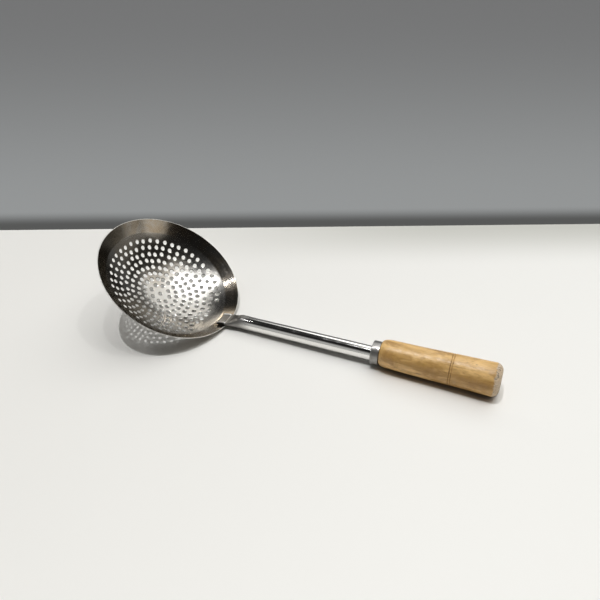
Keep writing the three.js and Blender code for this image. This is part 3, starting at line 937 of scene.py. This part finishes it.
def table_finish(nodes, looks):
    """White laminate with painted shade: dimmer on the left and along its far edge, and a painted contact
    shadow where the grip touches it.
    """
    (left, left_y), (right, right_y) = TABLE_EDGE
    slope = (right_y - left_y) / (right - left)
    place = nodes.add("ShaderNodeTexCoord", out=3)
    x, y, _ = nodes.parts(place)
    cloud = nodes.noise(place, 3.0, 2.0).between(0.3, 0.7)
    # Painted shade: the table dimmer towards the left
    base = nodes.mix(cloud * 0.06 + (1 - x.between(-0.3, 0.35)) * 0.8, looks.table, looks.table_painted_shade_left)
    # Painted shade along the far edge, fading out to the left
    from_edge = ((x - left) * slope + left_y - y) * math.cos(math.atan(slope))
    far = (1 - from_edge.between(0.0, 0.09)) * x.between(-0.3, 0.1)
    base = nodes.mix(far, base, looks.table_far_painted_shade)
    # Painted contact shadow: darker where little of the sky is open, only by the grip
    settings = {"samples": 16}
    open_sky = nodes.add("ShaderNodeAmbientOcclusion", settings, {"Distance": 0.012}, out=1)
    painted_contact_shadow = (1 - open_sky).between(0.35, 0.8) * x.between(0.065, 0.085)
    base = nodes.mix(painted_contact_shadow * 0.85, base, looks.table_painted_contact_shadow)
    return {"Base Color": base, "Roughness": 0.45, "Specular IOR Level": 0.3}


def wall_finish(nodes, looks):
    """Plain grey wall with painted shade, darker at its top and at its foot, and a painted glow of its own.
    """
    height = nodes.parts(nodes.add("ShaderNodeTexCoord", out=3))[2]
    # Painted shade towards the top and at the foot
    base = nodes.mix(height.between(-0.44, 0.12), looks.wall, looks.wall_top_painted_shade)
    base = nodes.mix(1 - height.between(-0.475, -0.43), base, looks.wall_foot_painted_shade)
    # Painted glow: the wall gives off light of its own
    return {"Base Color": base, "Roughness": 0.8, "Specular IOR Level": 0.1,
            "Emission Color": base, "Emission Strength": 0.75}


def room_world():
    """A plain room as the metal sees it: a pale ceiling, darker walls and a dark side behind the camera."""
    world = bpy.data.worlds.new("plain_room")
    world.use_nodes = True
    nodes = Nodes(world.node_tree)
    ray = nodes.add("ShaderNodeTexCoord", out=0)
    x, y, z = nodes.parts(ray)
    right = x.between(0.35, 0.7)
    # Walls low in the room, but for the place of the viewer
    viewer = nodes.dot(ray, (0.3, -0.75, 0.6)).between(0.8, 0.93)
    front = (y * -1).between(-0.1, 0.25)
    rear = y.between(-0.2, 0.2)
    low = 1 - z.between(0.5, 0.72)
    walls = low * (front * 0.4 + rear * 0.08) * (1 - viewer) * (1 - right)
    # A bright panel of the ceiling at the back
    shift = x.between(-0.35, 0.0)
    panel = (y + shift * 0.54).between(0.4, 0.52) * (z + shift * 0.1).between(0.54, 0.66)
    panel = panel * x.between(-0.46, -0.26) * (1 - x.between(0.5, 0.7))
    # Light overhead, from the right near the floor, and two small lights
    zenith = nodes.dot(ray, (0.12, 0.12, 0.98)).between(0.93, 0.985)
    floor_side = right * (1 - z.between(0.12, 0.3)) * 0.24
    flare = nodes.dot(ray, (0.98, -0.13, 0.1)).between(0.95, 0.995) * 0.6
    glint = nodes.dot(ray, (-0.62, 0.63, 0.46)).between(0.972, 0.995) * 1.3
    light = 0.012 + walls + panel * 1.55 + zenith + floor_side + flare + glint
    tint = nodes.mix((right + glint).clamped(), ROOM_PLAIN, ROOM_WARM)
    glow = nodes.add("ShaderNodeBackground", None, {"Color": tint, "Strength": light})
    nodes.add("ShaderNodeOutputWorld", None, {"Surface": glow})
    bpy.context.scene.world = world


def hang_lamp(name, lean, size, power):
    """A round ceiling lamp that faces the skimmer."""
    light = bpy.data.lights.new(name, "AREA")
    light.shape = "DISK"
    light.size = size
    light.energy = power
    holder = bpy.data.objects.new(name, light)
    holder.location = LAMP_TARGET + Vector(lean) * LAMP_HEIGHT
    holder.rotation_euler = (LAMP_TARGET - holder.location).to_track_quat("-Z", "Y").to_euler()
    bpy.context.scene.collection.objects.link(holder)


def set_camera():
    """The camera at the picture's viewing angle."""
    lens = bpy.data.cameras.new("camera")
    lens.sensor_width = CAMERA_LENS
    lens.lens = CAMERA_LENS
    camera = bpy.data.objects.new("camera", lens)
    camera.location = CAMERA_PLACE
    camera.rotation_euler = (math.radians(90 - CAMERA_ELEVATION), 0.0, math.radians(CAMERA_AZIMUTH))
    bpy.context.scene.collection.objects.link(camera)
    bpy.context.scene.camera = camera


def make_stage():
    """Table, wall behind it, ceiling lamps, room light and the camera."""
    bpy.context.scene.view_settings.view_transform = "Standard"
    left, right = TABLE_EDGE
    along = Vector((right[0] - left[0], right[1] - left[1])).normalized()
    back = Vector((-along.y, along.x))

    def behind(corner, distance, height):
        """A point behind a corner of the table's far edge."""
        return (corner[0] + back.x * distance, corner[1] + back.y * distance, height)

    table = [behind(left, 0.0, 0.0), behind(left, -TABLE_DEPTH, 0.0),
             behind(right, -TABLE_DEPTH, 0.0), behind(right, 0.0, 0.0)]
    wall = [behind(left, WALL_GAP, WALL_FOOT), behind(right, WALL_GAP, WALL_FOOT),
            behind(right, WALL_GAP, WALL_TOP), behind(left, WALL_GAP, WALL_TOP)]
    sheet_object("table", table, finish_of("white_table", table_finish))
    sheet_object("wall", wall, finish_of("grey_wall", wall_finish))
    for lamp in LAMPS:
        hang_lamp(*lamp)
    room_world()
    set_camera()


# Operators, panel and start

class SKIMMER_OT_bowl(bpy.types.Operator):
    """Build the perforated bowl"""
    bl_idname = "skimmer.bowl"
    bl_label = "Bowl"

    def execute(self, context):
        make_bowl()
        return {"FINISHED"}


class SKIMMER_OT_stem(bpy.types.Operator):
    """Build the tube with its pressed end"""
    bl_idname = "skimmer.stem"
    bl_label = "Stem"

    def execute(self, context):
        make_stem()
        return {"FINISHED"}


class SKIMMER_OT_ferrule(bpy.types.Operator):
    """Build the steel ring on the grip"""
    bl_idname = "skimmer.ferrule"
    bl_label = "Ferrule"

    def execute(self, context):
        make_ferrule()
        return {"FINISHED"}


class SKIMMER_OT_grip(bpy.types.Operator):
    """Build the turned wooden grip"""
    bl_idname = "skimmer.grip"
    bl_label = "Grip"

    def execute(self, context):
        make_grip()
        return {"FINISHED"}


class SKIMMER_OT_stage(bpy.types.Operator):
    """Set up the table, wall, lamps and camera"""
    bl_idname = "skimmer.stage"
    bl_label = "Stage"

    def execute(self, context):
        make_stage()
        return {"FINISHED"}


OPERATORS = (SKIMMER_OT_bowl, SKIMMER_OT_stem, SKIMMER_OT_ferrule, SKIMMER_OT_grip, SKIMMER_OT_stage)


class SKIMMER_PT_panel(bpy.types.Panel):
    """Lists the skimmer's sizes, finishes and pieces"""
    bl_idname = "SKIMMER_PT_panel"
    bl_label = "Perforated skimmer"
    bl_space_type = "VIEW_3D"
    bl_region_type = "UI"
    bl_category = "Skimmer"

    def draw(self, context):
        for operator in OPERATORS:
            self.layout.operator(operator.bl_idname)
        for name in GROUPS:
            group = getattr(context.scene, name)
            column = self.layout.column(align=True)
            for key in group.__annotations__:
                column.prop(group, key)


GROUPS = {
    "skimmer_bowl": BowlSizes,
    "skimmer_stem": StemSizes,
    "skimmer_grip": GripSizes,
    "skimmer_finish": Finishes,
}
CLASSES = (*GROUPS.values(), *OPERATORS, SKIMMER_PT_panel)


def register():
    """Adds the classes and the scene's groups of properties."""
    for item in CLASSES:
        bpy.utils.register_class(item)
    for name, group in GROUPS.items():
        setattr(bpy.types.Scene, name, PointerProperty(type=group))


def unregister():
    """Takes them out again."""
    for name in GROUPS:
        delattr(bpy.types.Scene, name)
    for item in reversed(CLASSES):
        bpy.utils.unregister_class(item)


def main():
    """Builds the stage and the skimmer."""
    register()
    bpy.ops.skimmer.stage()
    bpy.ops.skimmer.bowl()
    bpy.ops.skimmer.stem()
    bpy.ops.skimmer.ferrule()
    bpy.ops.skimmer.grip()


if __name__ == "__main__":
    main()
